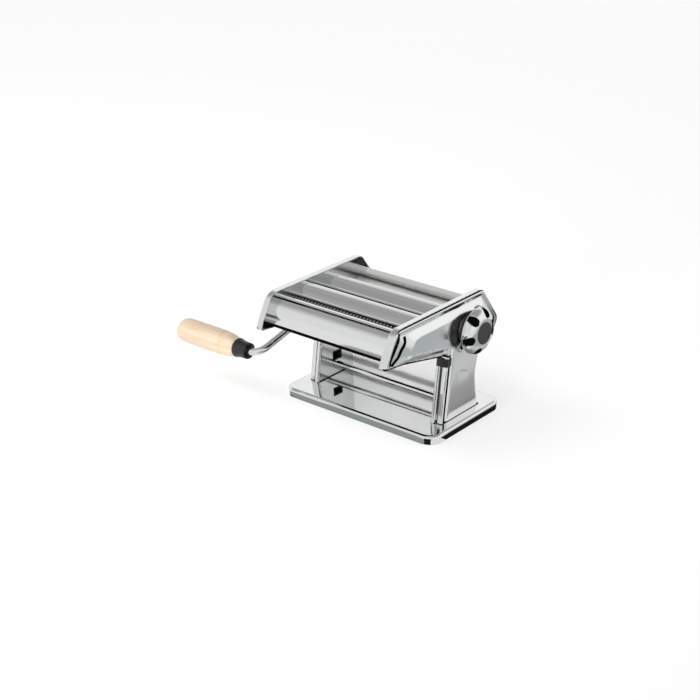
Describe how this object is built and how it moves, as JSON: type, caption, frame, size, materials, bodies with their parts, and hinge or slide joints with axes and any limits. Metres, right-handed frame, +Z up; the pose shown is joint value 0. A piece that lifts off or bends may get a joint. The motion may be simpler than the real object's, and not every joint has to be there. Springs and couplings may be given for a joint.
{
  "type": "pasta roller machine",
  "caption": "Hand-cranked pasta machine with smooth rollers, a gap knob, wide and narrow cutters, chromed side plates, low base and a wooden crank grip.",
  "frame": {"origin": "centre of the base's footprint, on the table under the four feet", "axes": "+X along the rollers toward the knob, the crank is at -X; -Y the front with the narrow cutters; +Z up"},
  "size_m": [0.3325, 0.1912, 0.1364],
  "materials": {
    "chromed_steel": "mirror polished chrome plate",
    "plated_steel": "fine turned, nickel plated",
    "gear_steel": "machined",
    "zinc_steel": "zinc plated",
    "bronze": "plain bearing bronze",
    "comb_plastic": "satin",
    "foot_rubber": "matte",
    "black_plastic": "glossy",
    "grey_plastic": "satin",
    "grip_wood": "clear satin varnish"
  },
  "bodies": {
    "frame": {"base_cover": "chromed_steel", "base_pan": "zinc_steel", "rubber_feet": "foot_rubber", "foot_blocks": "zinc_steel", "base_screws": "zinc_steel", "left_side_shell": "chromed_steel", "right_side_shell": "chromed_steel", "left_inner_plate": "chromed_steel", "right_inner_plate": "chromed_steel", "tie_rod": "chromed_steel", "tie_rod_nuts": "zinc_steel", "head_spacers": "plated_steel", "spacer_nuts": "zinc_steel", "slide_plate": "chromed_steel", "clamp_socket": "black_plastic", "rear_cover": "chromed_steel", "rear_arch_cover": "chromed_steel", "front_arch_cover": "chromed_steel", "guard_bar": "chromed_steel", "front_cover": "chromed_steel", "roller_scrapers": "plated_steel", "wide_combs": "comb_plastic", "narrow_combs": "comb_plastic", "roller_bushes": "bronze", "cutter_bushes": "bronze", "shaft_bushes": "bronze", "index_plate": "zinc_steel", "index_screws": "plated_steel"},
    "drive_roller": {"drive_roller": "plated_steel", "drive_gear": "gear_steel"},
    "crank": {"crank": "plated_steel"},
    "grip": {"grip": "grip_wood", "grip_ferrule": "black_plastic"},
    "bearing_blocks": {"bearing_blocks": "bronze", "cam_followers": "zinc_steel"},
    "adjustable_roller": {"adjustable_roller": "plated_steel", "adjustable_gear": "gear_steel"},
    "adjusting_shaft": {"adjusting_shaft": "plated_steel", "adjusting_cams": "zinc_steel", "spring_washer": "zinc_steel"},
    "knob": {"knob_barrel": "black_plastic", "knob_shell": "chromed_steel", "knob_cap": "grey_plastic", "knob_spring": "zinc_steel"},
    "wide_rear": {"wide_rear_cutter": "plated_steel", "wide_rear_gear": "gear_steel"},
    "wide_front": {"wide_front_cutter": "plated_steel", "wide_front_gear": "gear_steel"},
    "narrow_rear": {"narrow_rear_cutter": "plated_steel", "narrow_rear_gear": "gear_steel"},
    "narrow_front": {"narrow_front_cutter": "plated_steel", "narrow_front_gear": "gear_steel"}
  },
  "joints": [
    {"name": "crank_spin", "type": "hinge", "parent": "frame", "child": "drive_roller", "pos_m": [0, 0.03927, 0.10079], "axis": [1, 0, 0], "continuous": true},
    {"name": "crank_pull", "type": "slide", "parent": "drive_roller", "child": "crank", "axis": [-1, 0, 0], "range_m": [0, 0.025]},
    {"name": "grip_spin", "type": "hinge", "parent": "crank", "child": "grip", "pos_m": [-0.16, -0.08946, 0.0542], "axis": [1, 0, 0], "continuous": true},
    {"name": "knob_turn", "type": "hinge", "parent": "frame", "child": "adjusting_shaft", "pos_m": [0, 0.0122, 0.1035], "axis": [1, 0, 0], "range_deg": [0, 300]},
    {"name": "knob_pull", "type": "slide", "parent": "adjusting_shaft", "child": "knob", "axis": [1, 0, 0], "range_m": [0, 0.004], "stiffness_N_per_m": 900, "deforming": ["knob_spring"]},
    {"name": "gap_slide", "type": "slide", "parent": "frame", "child": "bearing_blocks", "axis": [0, -0.995, 0.0995], "range_m": [0, 0.0022]},
    {"name": "adjustable_spin", "type": "hinge", "parent": "bearing_blocks", "child": "adjustable_roller", "pos_m": [0, 0.0122, 0.1035], "axis": [1, 0, 0], "continuous": true},
    {"name": "wide_rear_spin", "type": "hinge", "parent": "frame", "child": "wide_rear", "pos_m": [0, -0.01596, 0.10632], "axis": [1, 0, 0], "continuous": true},
    {"name": "wide_front_spin", "type": "hinge", "parent": "frame", "child": "wide_front", "pos_m": [0, -0.03904, 0.10862], "axis": [1, 0, 0], "continuous": true},
    {"name": "narrow_rear_spin", "type": "hinge", "parent": "frame", "child": "narrow_rear", "pos_m": [0, -0.06352, 0.11107], "axis": [1, 0, 0], "continuous": true},
    {"name": "narrow_front_spin", "type": "hinge", "parent": "frame", "child": "narrow_front", "pos_m": [0, -0.08661, 0.11338], "axis": [1, 0, 0], "continuous": true}
  ],
  "couplings": [
    {"joint": "adjustable_spin", "follows": "crank_spin", "ratio": -1},
    {"joint": "knob_turn", "follows": "gap_slide", "rad_per_m": 2379.9},
    {"joint": "wide_front_spin", "follows": "wide_rear_spin", "ratio": -1},
    {"joint": "narrow_front_spin", "follows": "narrow_rear_spin", "ratio": -1}
  ]
}
